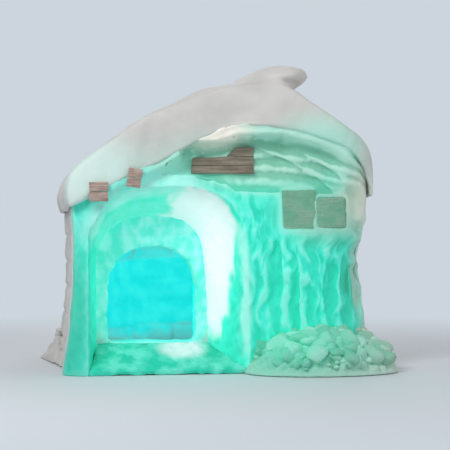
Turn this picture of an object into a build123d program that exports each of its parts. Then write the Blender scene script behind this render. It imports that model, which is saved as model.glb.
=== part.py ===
from build123d import *
import os
from math import cos, pi, radians, sin, sqrt

# A walk-in snow igloo: a round domed room behind a thick front wall, a deep splayed doorway left
# of the middle, and a thick cap of drifted snow with a crest that hangs over to the right.
# Millimetres. X to the right of the front, Y from the front to the back, Z up from the ground.
# The round room stands on the Z axis while the pieces are made. At the end everything is moved
# together, so that the origin lies on the ground under the middle of the whole igloo.

# Outer walls: upright with a slight waist, straight at the sides and round at the back
foot_half_width = 2100
waist_half_width = 1965
waist_height = 1300
wall_half_width = 1985
springing_height = 2300
front_reach = 2600
corner_radius_right = 900
corner_radius_left = 340
corner_clearance = 40

# Round room under its dome
room_radius = 1560
room_springing = 1500
room_rise = 1420
dome_rise = 1080
crown_radius = 430

# Front wall. Heights of the crease, the layers and the boards count from the springing
front_wall_thickness = 700
front_joint_drop = 100
left_crease_drop = 120
crease_line = [
    (1945, 260), (1790, 520), (1270, 780), (740, 905), (180, 900), (-380, 710), (-900, 420),
    (-1300, 235), (-1660, 60),
]
lean_start = -60
lean_angle = 9
layer_step = 45
layer_lines = [
    [(-860, 130), (-820, 380), (-360, 650), (230, 820), (820, 690), (1380, 420), (1800, 60)],
    [(-780, 130), (-720, 300), (-330, 550), (210, 720), (660, 590), (1120, 360), (1500, 60)],
]

# Flutes chiselled into the mass right of the doorway: place along the face and round the corner,
# half width, middle height, half height, depth
flutes = [
    (690, 150, 1120, 760, 55), (940, 150, 1040, 740, 62), (1190, 145, 960, 780, 50),
    (1440, 150, 1060, 700, 62), (1700, 150, 960, 760, 55), (1935, 135, 1120, 600, 50),
]

# Doorway niche: a squarish arch that narrows from the front face to the inner doorway
niche_squareness = 2.7
niche_centre_front = -725
niche_half_front = 1055
niche_spring_drop = 870
niche_rise_front = 1050
niche_centre_back = -880
niche_half_back = 750
niche_spring_back = 1250
niche_rise_back = 800
lining_thickness = 170

# Inner doorway
door_squareness = 2.3
door_centre = -875
door_half_width = 575
door_spring = 1080
door_rise = 580
door_lining = 150
sill_height = 380
ramp_front_height = 60

# Snow cap. Heights of its outline count from the springing
cap_overhang = 150
cap_back_cover = 110
cap_end_drop = 350
cap_left_end = (-2030, -150)
cap_right_end = (2070, 0)
cap_line = [
    (-2090, 140), (-1500, 770), (-1020, 1090), (-460, 1290), (150, 1460),
    (620, 1510), (1120, 1310), (1630, 985), (1960, 760), (2080, 380),
]
cap_edge_radius = 70

# Crest of drifted snow on the cap, with a lip that hangs over to the right
crest_radii = (530, 800, 200)
crest_centre = (730, 1600)
crest_setback = 60
crest_tilt = -12

# Two sawn blocks that show at the top right of the front wall: name, centre x, width, top, height
upper_blocks = [("upper_block_left", 985, 430, 95, 510), ("upper_block_right", 1425, 400, 10, 400)]
block_depth = 330
block_proud = 15

# Boards. The sign's outline rises to the right; the small boards give centre x, width, bottom, height
board_thickness = 28
sign_line = [(-430, 330), (410, 330), (410, 690), (160, 680), (40, 570), (-410, 540)]
small_boards = [("small_board_left", -1660, 245, -50, 250), ("small_board_right", -1200, 185, 130, 250)]
small_board_tilt = {"small_board_left": 0, "small_board_right": 9}

# Snow banked against the foot of the walls, and broken lumps heaped before the front wall
bank_reach = 230
bank_height = 520
bank_front_gap = 930
hollow_spacing = 355
hollow_radius = 200
hollow_depth = 42
hollow_shifts = (-45, 20, -15, 35)
heap_centre_x = 1290
heap_radii = (1040, 620, 560)

far = 4 * front_reach
widest = max(foot_half_width, wall_half_width)
niche_spring_front = springing_height - niche_spring_drop
front_y = -front_reach
niche_back_y = front_wall_thickness - front_reach
hood_y = -front_reach - cap_overhang


def upright(y):
    """The plane that looks at the front, at distance y behind the room's axis."""
    return Plane.XZ.offset(-y)


def raised(points):
    """Points whose heights count from the springing, as points above the ground."""
    return [(x, springing_height + rise) for x, rise in points]


def prism(y, edges, depth):
    """A solid that runs back from y by depth, with the outline that the edges close."""
    return extrude(upright(y) * make_face(edges), amount=depth, dir=(0, 1, 0))


def block(x, y, z):
    """A plain box between the faces given as (low, high) on each axis."""
    middle = [(low + high) / 2 for low, high in (x, y, z)]
    return Pos(*middle) * Box(x[1] - x[0], y[1] - y[0], z[1] - z[0])


def sector(first, last, low, high):
    """A wedge about the room's axis between two bearings, counted from +X towards +Y."""
    bearings = [radians(a) for a in (first, (first + last) / 2, last)]
    rim = [(far * cos(a), far * sin(a)) for a in bearings]
    return Pos(0, 0, low) * extrude(make_face(Polyline((0, 0), *rim, close=True)), amount=high - low)


def side_line(side, height=springing_height):
    """The wall's outer face from foot to top, on the right (1) or on the left (-1)."""
    return ThreePointArc(
        (side * foot_half_width, 0), (side * waist_half_width, waist_height),
        (side * wall_half_width, height))


def foot_line():
    return Line((-foot_half_width, 0), (foot_half_width, 0))


def arch_face(y, centre, half, spring, rise, squareness):
    """A doorway outline: straight sides under a head that is squarer than an ellipse."""
    head = []
    for step in range(9):
        angle = pi * step / 8
        across = abs(cos(angle)) ** (2 / squareness) * (1 if cos(angle) > 0 else -1)
        head.append((centre + half * across, spring + rise * sin(angle) ** (2 / squareness)))
    head[0], head[-1] = (centre + half, spring), (centre - half, spring)
    sides = Polyline(head[-1], (centre - half, 0), (centre + half, 0), head[0])
    over = Spline(*head, tangents=[(0, 1), (0, -1)])
    return upright(y) * make_face([over] + sides.edges())


def round_section(radius, spring, rise, foot):
    """Half of a round room's section: an upright side under an elliptic head."""
    head = EllipticalCenterArc((0, spring), radius, rise, start_angle=0, arc_size=90)
    points = [(0, spring + rise), (0, foot), (radius, foot)]
    if foot < spring:
        points.append((radius, spring))
    return upright(0) * make_face([head] + Polyline(*points).edges())


def rounded_front(margin):
    """An upright prism over the igloo's plan, which rounds the two front corners."""
    half, front = foot_half_width + far, front_y - margin
    right, left = corner_radius_right, corner_radius_left
    reach = widest + corner_clearance + margin
    quarter = sqrt(0.5)
    rim = [
        Line((-half, far), (-half, front + left)),
        Line((-half, front + left), (-reach, front + left)),
        ThreePointArc((-reach, front + left),
                      (-reach + left * (1 - quarter), front + left * (1 - quarter)),
                      (-reach + left, front)),
        Line((-reach + left, front), (reach - right, front)),
        ThreePointArc((reach - right, front),
                      (reach - right * (1 - quarter), front + right * (1 - quarter)),
                      (reach, front + right)),
        Line((reach, front + right), (half, front + right)),
        Line((half, front + right), (half, far)),
        Line((half, far), (-half, far)),
    ]
    return extrude(make_face(rim), amount=far)


def walls_outside():
    """Outside of the walls up to the springing, with a round back."""
    top = springing_height
    half = upright(0) * make_face(
        [side_line(1), Line((wall_half_width, top), (0, top))]
        + Polyline((0, top), (0, 0), (foot_half_width, 0)).edges())
    round_back = revolve(half, axis=Axis.Z, revolution_arc=180)
    lid = Line((wall_half_width, top), (-wall_half_width, top))
    return round_back + prism(front_y, [side_line(-1), foot_line(), side_line(1), lid], front_reach)


def front_outline():
    """The front wall's outline, closed at the top by the crease under the snow cap."""
    left_top = springing_height - left_crease_drop
    crease = Spline((wall_half_width, springing_height), *raised(crease_line), (-wall_half_width, left_top))
    return [side_line(-1, left_top), foot_line(), side_line(1), crease]


def niche_space(extra):
    """The splayed doorway niche, wider all round by extra."""
    front = arch_face(front_y, niche_centre_front, niche_half_front + extra,
                      niche_spring_front, niche_rise_front + extra, niche_squareness)
    back = arch_face(niche_back_y, niche_centre_back, niche_half_back + extra,
                     niche_spring_back, niche_rise_back + extra, niche_squareness)
    return loft([front, back])


def door_space(extra):
    """The inner doorway, from the back of the niche into the room, wider by extra."""
    face = arch_face(niche_back_y, door_centre, door_half_width + extra,
                     door_spring, door_rise + extra, door_squareness)
    return extrude(face, amount=front_reach, dir=(0, 1, 0))


def leaning(outline, step):
    """The space before the leaning upper face, within an outline and step deeper than the face."""
    start = springing_height + lean_start
    lean = Pos(0, front_y + step, start) * Rot(-lean_angle, 0, 0) * block((-far, far), (-far, 0), (0, far))
    return prism(front_y - far / 4, outline, far / 2) & lean


def cap_section(y, share, drop):
    """The cap's outline at y, drawn in towards its middle by share, its foot lower by drop."""
    line = []
    for x, rise in [cap_left_end] + cap_line + [cap_right_end]:
        line.append((x * share, springing_height + (rise * share ** 0.8 if rise > 0 else rise)))
    line[0] = (line[0][0], line[0][1] - drop)
    line[-1] = (line[-1][0], line[-1][1] - drop)
    return upright(y) * make_face([Spline(*line), Line(line[0], line[-1])])


def cap_outside():
    """Outside of the snow cap: straight from the hood to the room's axis, then closing round."""
    straight = extrude(cap_section(hood_y, 1, 0), amount=-hood_y, dir=(0, 1, 0))
    rim = straight.faces().sort_by(Axis.Y)[0].edges().sort_by(Axis.Z)[-1]
    straight = fillet(rim, cap_edge_radius)
    back_reach = wall_half_width + cap_back_cover
    sections = [cap_section(0, 1, 0)]
    for angle in (12, 28, 48, 66, 80):
        drop = cap_end_drop * sin(radians(angle)) ** 2
        sections.append(cap_section(back_reach * sin(radians(angle)), cos(radians(angle)), drop))
    return straight, loft(sections)


def make_walls(walls, room, doorway_outer):
    """Walls behind the front wall, in segments about the room."""
    shell = (walls & block((-far, far), (niche_back_y, far), (0, far))) - room
    ring = shell - doorway_outer
    bearings = {"wall_right": (-35, 12), "wall_back_right": (12, 60), "wall_back": (60, 120),
                "wall_back_left": (120, 168), "wall_left": (168, 215)}
    made = {name: ring & sector(*span, 0, springing_height) for name, span in bearings.items()}
    inner = ring & sector(bearings["wall_left"][1], bearings["wall_right"][0] + 360, 0, springing_height)
    left = door_centre - door_half_width - door_lining
    right = door_centre + door_half_width + door_lining
    full = (0, springing_height)
    made["inner_wall_left"] = inner & block((-far, left), (-far, 0), full)
    made["inner_wall_right"] = inner & block((right, far), (-far, 0), full)
    made["inner_wall_head"] = inner & block((left, right), (-far, 0), full)
    return made, shell


def make_dome(dome_section, room_section):
    """Dome in gores about a round crown block."""
    section = dome_section - room_section
    strip = upright(0) * (Pos(crown_radius / 2, springing_height + dome_rise / 2)
                          * Rectangle(crown_radius, dome_rise))
    crown_half = revolve(section & strip, axis=Axis.Z, revolution_arc=180)
    made = {"crown_block": crown_half + Rot(0, 0, 180) * crown_half}
    names = ["dome_right", "dome_back_right", "dome_back_left", "dome_left",
             "dome_front_left", "dome_front_right"]
    span = 360 / len(names)
    for place, name in enumerate(names):
        gore = revolve(section - strip, axis=Axis.Z, revolution_arc=span)
        made[name] = Rot(0, 0, span * (place - 0.5)) * gore
    return made


def flute(place, half_width, middle, half_height, depth):
    """An upright hollow in the front face, or round the right corner from where that begins."""
    turn_x, turn_y = widest + corner_clearance - corner_radius_right, front_y + corner_radius_right
    hollow = scale(Sphere(1), by=(half_width, 2 * depth, half_height))
    if place <= turn_x:
        return Pos(place, front_y - depth, middle) * hollow
    angle = (place - turn_x) / corner_radius_right * 180 / pi
    return Pos(turn_x, turn_y, middle) * Rot(0, 0, angle) * Pos(0, -corner_radius_right - depth, 0) * hollow


def make_front_wall(front_block, niche_outer, niche, dome):
    """Left leg, right mass and head, with a leaning upper face in fanned layers, and two blocks."""
    front = front_block - dome
    front = front - leaning(front_outline(), 0)
    for number, line in enumerate(layer_lines, start=1):
        points = raised(line)
        outline = [Spline(*points), Line(points[-1], points[0])]
        front = front - leaning(outline, number * layer_step)
    front = front - sign(2 * len(layer_lines) * layer_step)
    for row in flutes:
        front = front - flute(*row)
    made = {}
    for name, centre, width, top, height in upper_blocks:
        high = springing_height + top
        seat = block((centre - width / 2, centre + width / 2),
                     (front_y - block_proud, front_y + block_depth), (high - height, high))
        seat = seat & rounded_front(block_proud)
        front = front - seat
        made[name] = seat
    leg = block((-far, niche_centre_front), (-far, 0), (0, niche_spring_front))
    made["front_wall_left"] = (front & leg) - niche
    front = (front - leg) - niche_outer
    niche_right = niche_centre_front + niche_half_front + lining_thickness
    right = block((niche_right, far), (-far, 0), (0, springing_height - front_joint_drop))
    made["front_wall_right"] = front & right
    made["front_wall_head"] = front - right
    return made


def make_doorway(niche, niche_outer, doorway, doorway_outer, shell, front_block):
    """Lining of the niche, trodden ramp, and the inner doorway's jambs, head and sill."""
    lining = ((niche_outer - niche) & front_block) - leaning(front_outline(), 0)
    leg = block((-far, niche_centre_front), (-far, 0), (0, niche_spring_front))
    lining = lining - leg
    spring = niche_spring_front
    made = {"entrance_jamb_right": lining & block((niche_centre_front, far), (-far, 0), (0, spring)),
            "entrance_arch": lining & block((-far, far), (-far, 0), (spring, far))}
    ramp_side = make_face(Polyline(
        (front_y, 0), (niche_back_y, 0), (niche_back_y, sill_height),
        (front_y, ramp_front_height), close=True))
    made["entrance_ramp"] = niche & extrude(Plane.YZ * ramp_side, amount=far, both=True)
    surround = (doorway_outer - doorway) & shell
    made["door_jamb_left"] = surround & block((-far, door_centre), (-far, 0), (0, door_spring))
    made["door_jamb_right"] = surround & block((door_centre, far), (-far, 0), (0, door_spring))
    made["door_head"] = surround & block((-far, far), (-far, 0), (door_spring, far))
    made["door_sill"] = (doorway & shell) & block((-far, far), (-far, 0), (0, sill_height))
    return made


def make_cap(under_cap, niche_outer):
    """Snow cap in three pieces, and the crest that lies on it."""
    straight, back = cap_outside()
    straight = straight & rounded_front(cap_overhang)
    lump = Rot(0, crest_tilt, 0) * scale(Sphere(1), by=crest_radii)
    crest_y = hood_y + crest_radii[1] + crest_setback
    crest = Pos(crest_centre[0], crest_y, springing_height + crest_centre[1]) * lump - straight
    recess = prism(-far, front_outline(), far + niche_back_y)
    cap = ((straight - under_cap) - niche_outer) - recess
    return {"roof_snow_left": cap & block((-far, 0), (-far, 0), (0, far)),
            "roof_snow_right": cap & block((0, far), (-far, 0), (0, far)),
            "roof_snow_back": back - under_cap,
            "snow_crest": crest}


def sign(thickness):
    """The sign's outline, thickened outwards from the deepest layer of the leaning face."""
    outline = make_face(Polyline(*[(x, rise - lean_start) for x, rise in sign_line], close=True))
    depth = len(layer_lines) * layer_step
    face = Pos(0, front_y + depth, springing_height + lean_start) * Rot(-lean_angle, 0, 0)
    return face * extrude(Plane.XZ * outline, amount=thickness)


def make_boards():
    """A bare sign set into the leaning face over the doorway, and two small boards on the hood."""
    made = {"sign_board": sign(board_thickness)}
    for name, centre, width, bottom, height in small_boards:
        board = Box(width, board_thickness, height)
        spot = Pos(centre, hood_y - board_thickness / 2, springing_height + bottom + height / 2)
        made[name] = spot * Rot(0, small_board_tilt[name], 0) * board
    return made


def make_banks(walls):
    """Drifts with hollows blown into them at the foot, and the heap of lumps at the front."""
    inside = waist_half_width - bank_reach
    slope = ThreePointArc((foot_half_width + bank_reach, 0),
                          (foot_half_width + bank_reach / 4, bank_height * 0.4),
                          (waist_half_width, bank_height))
    core = Polyline((waist_half_width, bank_height), (inside, bank_height), (inside, 0),
                    (foot_half_width + bank_reach, 0))
    section = upright(0) * make_face([slope] + core.edges())
    back = revolve(section, axis=Axis.Z, revolution_arc=180) - walls
    length = front_reach - bank_front_gap
    side = extrude(section, amount=length, dir=(0, -1, 0))
    # the hollows' middles lie outside the slope, square to it half way up
    clear = hollow_radius - hollow_depth
    ball = Pos(foot_half_width + bank_reach / 4 + 0.83 * clear, 0,
               bank_height * 0.4 + 0.56 * clear) * Sphere(hollow_radius)
    count = int(pi * foot_half_width / hollow_spacing)
    for step in range(count):
        shift = hollow_shifts[step % len(hollow_shifts)]
        back = back - Rot(0, 0, 180 * (step + 0.5) / count) * Pos(-shift / 2, 0, shift) * ball
    for step in range(int(length / hollow_spacing)):
        shift = hollow_shifts[step % len(hollow_shifts)]
        side = side - Pos(-shift / 2, -hollow_spacing * (step + 0.5), shift) * ball
    heap = Pos(heap_centre_x, front_y, 0) * scale(Sphere(1), by=heap_radii)
    heap = (heap & block((-far, far), (-far, 0), (0, far))) - walls
    return {"bank_right": side - walls, "bank_left": mirror(side, about=Plane.YZ) - walls,
            "bank_back_right": back & block((0, far), (0, far), (0, far)),
            "bank_back_left": back & block((-far, 0), (0, far), (0, far)),
            "bank_front_right": heap}


rounding = rounded_front(0)
walls = walls_outside() & rounding
room_section = round_section(room_radius, room_springing, room_rise, 0)
room = revolve(room_section, axis=Axis.Z)
dome_section = round_section(wall_half_width, springing_height, dome_rise, springing_height)
dome = revolve(dome_section, axis=Axis.Z)
niche, niche_outer = niche_space(0), niche_space(lining_thickness)
doorway, doorway_outer = door_space(0), door_space(door_lining)
front_block = prism(front_y, front_outline(), front_wall_thickness) & rounding

pieces, shell = make_walls(walls, room, doorway_outer)
pieces.update(make_dome(dome_section, room_section))
pieces.update(make_front_wall(front_block, niche_outer, niche, dome))
pieces.update(make_doorway(niche, niche_outer, doorway, doorway_outer, shell, front_block))
pieces.update(make_cap(walls + dome + front_block, niche_outer))
pieces.update(make_boards())
pieces.update(make_banks(walls))

# Set the origin on the ground under the middle, then write each piece
box = Compound([solid for shape in pieces.values() for solid in shape.solids()]).bounding_box()
shift = Pos(-(box.min.X + box.max.X) / 2, -(box.min.Y + box.max.Y) / 2, 0)
print("room's axis at", shift.position)
os.makedirs("parts", exist_ok=True)
for name, shape in pieces.items():
    export_step(shift * shape, f"parts/{name}.step")
print(len(pieces), "pieces, size", box.size)
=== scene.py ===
import math
import random

import bmesh
import bpy
import numpy as np
from bpy.props import FloatProperty, IntProperty, PointerProperty, StringProperty
from bpy.types import Operator, Panel, PropertyGroup
from mathutils import Matrix, Vector, noise


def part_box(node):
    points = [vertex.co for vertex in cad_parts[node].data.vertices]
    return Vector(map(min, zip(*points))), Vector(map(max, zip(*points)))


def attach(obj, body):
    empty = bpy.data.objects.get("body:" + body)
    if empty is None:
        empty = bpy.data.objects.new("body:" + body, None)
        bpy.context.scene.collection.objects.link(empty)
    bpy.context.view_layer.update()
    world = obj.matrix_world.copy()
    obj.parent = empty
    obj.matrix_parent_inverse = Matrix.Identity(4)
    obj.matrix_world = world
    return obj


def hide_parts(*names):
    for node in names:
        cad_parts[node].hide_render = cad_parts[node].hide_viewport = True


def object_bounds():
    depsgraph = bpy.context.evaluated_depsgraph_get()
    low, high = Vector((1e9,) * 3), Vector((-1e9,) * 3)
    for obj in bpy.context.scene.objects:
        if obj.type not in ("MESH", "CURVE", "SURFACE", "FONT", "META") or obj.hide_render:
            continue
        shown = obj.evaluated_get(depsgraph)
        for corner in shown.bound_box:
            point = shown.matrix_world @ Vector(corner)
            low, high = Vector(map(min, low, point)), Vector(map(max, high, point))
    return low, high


bl_info = {
    "name": "Snow Igloo",
    "version": (1, 0, 0),
    "blender": (4, 5, 0),
    "location": "3D View > Sidebar > Igloo",
    "description": "Sculpts and finishes a snow igloo around its construction model",
    "category": "Object",
}

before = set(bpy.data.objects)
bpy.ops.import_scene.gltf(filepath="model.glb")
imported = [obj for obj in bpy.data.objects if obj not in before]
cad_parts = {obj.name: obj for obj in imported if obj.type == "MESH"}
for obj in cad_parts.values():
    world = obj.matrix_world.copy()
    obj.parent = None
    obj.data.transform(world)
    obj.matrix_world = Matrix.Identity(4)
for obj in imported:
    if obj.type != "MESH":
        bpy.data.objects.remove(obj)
CAD_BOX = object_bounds()


def middle_of(name, axis):
    """The middle of a construction piece along one axis."""
    low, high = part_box(name)
    return (low[axis] + high[axis]) / 2


# The construction model, read from its own pieces: all in metres, front towards -Y
FRONT_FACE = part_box("front_wall_right")[0][1]
FRONT_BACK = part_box("front_wall_right")[1][1]
HOOD_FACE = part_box("roof_snow_left")[0][1]
ROOM_AXIS = (middle_of("crown_block", 0), middle_of("crown_block", 1))
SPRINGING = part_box("wall_back")[1][2]
DOOR_MIDDLE = middle_of("door_sill", 0)
SAWN_BLOCKS = ("upper_block_left", "upper_block_right")
BODY = "root"

# The front wall's plan: half its width, and the radii of its right and left corners
FRONT_HALF = 2.14
CORNERS = ((1, 0.90), (-1, 0.34))
# The niche's arch in the wall's face
NICHE_MIDDLE, NICHE_HALF, NICHE_SPRING, NICHE_RISE = -0.725, 1.055, 1.43, 1.05
# Radii along which the blocks of the room and of the walls' outside are counted
ROOM_RADIUS, WALL_RADIUS = 1.56, 1.97
# The crease where the front wall meets the hood, as x and height
CREASE = [(-1.985, 2.18), (-1.66, 2.36), (-1.30, 2.535), (-0.90, 2.72), (-0.38, 3.01),
          (0.18, 3.20), (0.74, 3.205), (1.27, 3.08), (1.79, 2.82), (1.945, 2.56), (1.985, 2.30)]
# The cap's outline over it, likewise
CAP_LINE = [(-2.09, 2.44), (-1.50, 3.07), (-1.02, 3.39), (-0.46, 3.59), (0.15, 3.76),
            (0.62, 3.81), (1.12, 3.61), (1.63, 3.285), (1.96, 3.06), (2.08, 2.68)]

# Edge lengths of the smaller snow meshes, chance cuts per broken lump, and ice's refraction
BANK_GRAIN, BLOCK_GRAIN = 0.032, 0.012
CUTS_PER_LUMP = 13
ICE_IOR = 1.31


def colour_code(name, description, default):
    """A property that holds a colour as an sRGB hex code."""
    return StringProperty(name=name, description=description, default=default)


def length(name, description, default, least=0.01):
    """A property that holds a length in metres."""
    return FloatProperty(name=name, description=description, default=default, min=least,
                         unit="LENGTH")


class IglooColours(PropertyGroup):
    """Colours of the snow, of the teal and white light painted on it, and of the boards."""

    snow_light: colour_code("Snow", "Drifted snow in full light", "#DEDBD7")
    snow_shade: colour_code("Snow shade", "Snow where it is packed and a little dirty", "#CCCAC7")
    # painted light, the next four: aqua for the doorway's teal light, paler on ridges and deeper in
    # hollows as painted highlight and shade, white where its white light falls, cyan for the room's
    # light
    painted_aqua_on_ridges: colour_code("Bright aqua", "Icy snow beside the doorway", "#55FAE0")
    painted_aqua_in_hollows: colour_code("Deep aqua", "Icy snow in the front wall's grooves", "#30E2C2")
    painted_white_light: colour_code("Ice white", "Glazed snow of the doorway's lit jamb", "#F1FBFA")
    painted_room_light: colour_code("Room cyan", "Ice of the room behind the inner doorway", "#2AE4E4")
    block_grey: colour_code("Block grey-green", "The front wall's two sawn blocks", "#74B698")
    board_brown: colour_code("Board brown", "Bare weathered boards", "#746B5E")
    board_grey: colour_code("Board grey", "Silvered grain of the boards", "#9C9282")


class IglooSnow(PropertyGroup):
    """Sizes of the snow's detail."""

    wall_grain: length("Wall mesh", "Edge length of the walls' snow mesh", 0.030)
    front_grain: length("Front mesh", "Edge length of the front wall's snow mesh", 0.020)
    cap_grain: length("Cap mesh", "Edge length of the snow cap's mesh", 0.030)
    course_height: length("Course height", "Height of one course of snow blocks", 0.36, 0.1)
    block_length: length("Block length", "Length of a snow block along the wall", 0.66, 0.1)
    joint_depth: length("Joint depth", "How deep the joints are rubbed in", 0.028, 0.0)
    flute_depth: length("Flute depth", "How deep the front wall's flutes are", 0.058, 0.0)
    lump_count: IntProperty(
        name="Lumps", description="Lumps of broken snow at the foot of the front wall",
        default=240, min=0)
    seed: IntProperty(name="Seed", description="Start of the random numbers", default=7)


class IglooStage(PropertyGroup):
    """Camera, floor and light."""

    azimuth: FloatProperty(
        name="Azimuth", description="Bearing of the camera about the igloo, in degrees",
        default=-9.0)
    distance: length("Distance", "From the front wall to the camera", 18.3)
    eye_height: length("Eye height", "Height of the camera over the ground", 1.95)
    lens: FloatProperty(name="Lens", description="Focal length in millimetres", default=112.0)
    sky: FloatProperty(
        name="Sky light", description="Strength of the even light from all round",
        default=0.5, min=0.0)
    floor_colour: colour_code("Floor", "Pale studio floor", "#D9DEE3")
    backdrop: colour_code("Backdrop", "Pale backdrop behind the igloo", "#CCD5DD")


# Shaping in mesh code


def coordinates(mesh):
    """Vertex places as an array of rows."""
    points = np.empty(len(mesh.vertices) * 3)
    mesh.vertices.foreach_get("co", points)
    return points.reshape(-1, 3)


def normals(mesh):
    """Vertex normals as an array of rows."""
    values = np.empty(len(mesh.vertices) * 3)
    mesh.vertices.foreach_get("normal", values)
    return values.reshape(-1, 3)


def write_back(mesh, points):
    """Puts the vertices at the given places."""
    mesh.vertices.foreach_set("co", points.ravel())
    mesh.update()


def new_object(name, data):
    """An object of its own, linked into the scene."""
    obj = bpy.data.objects.new(name, data)
    bpy.context.scene.collection.objects.link(obj)
    return obj


def relax(mesh, points, rounds, share=0.5):
    """Moves each point by a share of the way to its neighbours' mean; the share may vary."""
    edges = np.empty(len(mesh.edges) * 2, dtype=np.int64)
    mesh.edges.foreach_get("vertices", edges)
    a, b = edges.reshape(-1, 2).T
    count = np.bincount(a, minlength=len(points)) + np.bincount(b, minlength=len(points))
    share = np.broadcast_to(share, len(points))[:, None]
    for _ in range(rounds):
        mean = np.zeros_like(points)
        for axis in range(3):
            mean[:, axis] = (np.bincount(a, points[b, axis], len(points))
                             + np.bincount(b, points[a, axis], len(points)))
        mean /= np.maximum(count, 1)[:, None]
        points += (mean - points) * share


def relax_values(mesh, values, rounds):
    """Blurs one number per vertex over its neighbours, in place."""
    rows = np.stack([values, values, values], axis=1)
    relax(mesh, rows, rounds)
    values[:] = rows[:, 0]


def keep_largest(mesh, least=400):
    """Deletes the small shells that are left inside where two solids met."""
    work = bmesh.new()
    work.from_mesh(mesh)
    unseen = set(work.verts)
    while unseen:
        start = unseen.pop()
        shell = [start]
        front = [start]
        while front:
            vert = front.pop()
            for edge in vert.link_edges:
                other = edge.other_vert(vert)
                if other in unseen:
                    unseen.discard(other)
                    shell.append(other)
                    front.append(other)
        if len(shell) < least:
            bmesh.ops.delete(work, geom=shell, context="VERTS")
    work.to_mesh(mesh)
    work.free()


def meshes_of(names, grow, reach=None):
    """One mesh with copies of construction pieces, each grown so that neighbours overlap."""
    joined = bmesh.new()
    for name in names:
        joined.from_mesh(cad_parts[name].data)
    bmesh.ops.remove_doubles(joined, verts=joined.verts, dist=1e-5)
    joined.normal_update()
    mesh = bpy.data.meshes.new("joined")
    joined.to_mesh(mesh)
    joined.free()
    points = coordinates(mesh) + normals(mesh) * grow
    if reach is not None:
        reach(points)
    write_back(mesh, points)
    return mesh


def snow_mass(name, nodes, grain, reach=None):
    """Construction pieces rubbed over into one mass of snow: joined, rounded, evenly meshed."""
    grow = 0.6 * grain
    obj = new_object(name, meshes_of(nodes, grow, reach))
    remesh = obj.modifiers.new("even mesh", "REMESH")
    remesh.mode = "VOXEL"
    remesh.voxel_size = grain
    evaluated = obj.evaluated_get(bpy.context.evaluated_depsgraph_get())
    even = bpy.data.meshes.new_from_object(evaluated)
    obj.modifiers.clear()
    obj.data = even
    even.name = name
    keep_largest(even)
    points = coordinates(even)
    points -= normals(even) * grow
    relax(even, points, 2)
    write_back(even, points)
    return obj


def rough(points, size, detail=3):
    """Fractal noise at each point, about -1 to 1, with lumps of the given size in metres."""
    places = points / np.broadcast_to(size, 3)
    return np.array([noise.fractal(p, 1.0, 2.0, detail, noise_basis="PERLIN_ORIGINAL")
                     for p in places.tolist()])


def ridges(points, size):
    """Sharp ridges between hollows: 1 on a ridge, 0 in the middle of a hollow."""
    return 1.0 - np.clip(np.abs(rough(points, size, 2)) * 2.4, 0.0, 1.0)


def smooth_step(low, high, value):
    """0 below low, 1 above high and a soft slope between; falls where low is the higher."""
    t = np.clip((value - low) / (high - low), 0.0, 1.0)
    return t * t * (3.0 - 2.0 * t)


def under(line, points):
    """How far each place lies below a line across the front."""
    across, height = np.array(line).T
    return np.interp(points[:, 0], across, height) - points[:, 2]


def outward_of_front(points):
    """The way out of the front wall's round-cornered plan, and the depth inside that plan."""
    x, y = points[:, 0], points[:, 1]
    out, depth = np.zeros_like(points), y - FRONT_FACE
    out[:, 1] = -1.0
    for side, radius in CORNERS:
        across, back = side * x - (FRONT_HALF - radius), FRONT_FACE + radius - y
        apart = np.hypot(across, back)
        corner = (across > 0) & (back > 0)
        depth = np.where(corner, radius - apart, depth)
        out[corner, 0] = side * across[corner] / apart[corner]
        out[corner, 1] = -back[corner] / apart[corner]
        along = (across > 0) & (back <= 0)
        depth = np.where(along, radius - across, depth)
        out[along] = (side, 0.0, 0.0)
    return out, depth


def keep_in_box(obj, points):
    """Writes the points back, inside the construction model's box and above the ground."""
    low, high = np.array(CAD_BOX[0]), np.array(CAD_BOX[1])
    points = np.clip(points, low + 0.001, high - 0.001)
    points[:, 2] = np.maximum(points[:, 2], 0.0)
    write_back(obj.data, points)


def move_along_normals(obj, amount):
    """Pushes each vertex along its normal."""
    keep_in_box(obj, coordinates(obj.data) + normals(obj.data) * amount[:, None])


def note_on_mesh(mesh, name, values):
    """Keeps one number per vertex under a name, for the finishes to read."""
    attribute = mesh.attributes.new(name, "FLOAT", "POINT")
    attribute.data.foreach_set("value", np.ascontiguousarray(values, dtype=np.float32))


def note_relief(obj, rounds, height):
    """Notes how far each place stands out of its surroundings: 0.5 level, 1 a ridge, 0 a hollow."""
    points, facing = coordinates(obj.data), normals(obj.data)
    level = points.copy()
    relax(obj.data, level, rounds)
    proud = np.sum((points - level) * facing, axis=1) / height
    note_on_mesh(obj.data, "relief", np.clip(0.5 + 0.5 * proud, 0.0, 1.0))


def finish_piece(obj, material, slot, *nodes):
    """Smooth shading and material; the piece joins the body and the construction pieces it replaces
    are hidden.
    """
    obj.data.materials.clear()
    obj.data.materials.append(material)
    for polygon in obj.data.polygons:
        polygon.use_smooth = True
    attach(obj, BODY)
    if nodes:
        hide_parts(*nodes)


# Finishes

PRODUCT, GREATER = {"operation": "MULTIPLY"}, {"operation": "MAXIMUM"}
SOFT_ENDS = {"interpolation_type": "SMOOTHSTEP"}


def linear(code):
    """An sRGB hex code as linear red, green, blue and 1."""
    parts = [int(code[i:i + 2], 16) / 255 for i in (1, 3, 5)]
    return [c / 12.92 if c <= 0.04045 else ((c + 0.055) / 1.055) ** 2.4 for c in parts] + [1.0]


def add(tree, kind, settings=None, values=None, links=None):
    """Adds a node, sets its properties and its sockets' values, and links other sockets to it."""
    node = tree.nodes.new("ShaderNode" + kind)
    for key, value in (settings or {}).items():
        setattr(node, key, value)
    for key, value in (values or {}).items():
        node.inputs[key].default_value = value
    for key, socket in (links or {}).items():
        tree.links.new(socket, node.inputs[key])
    return node


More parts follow.
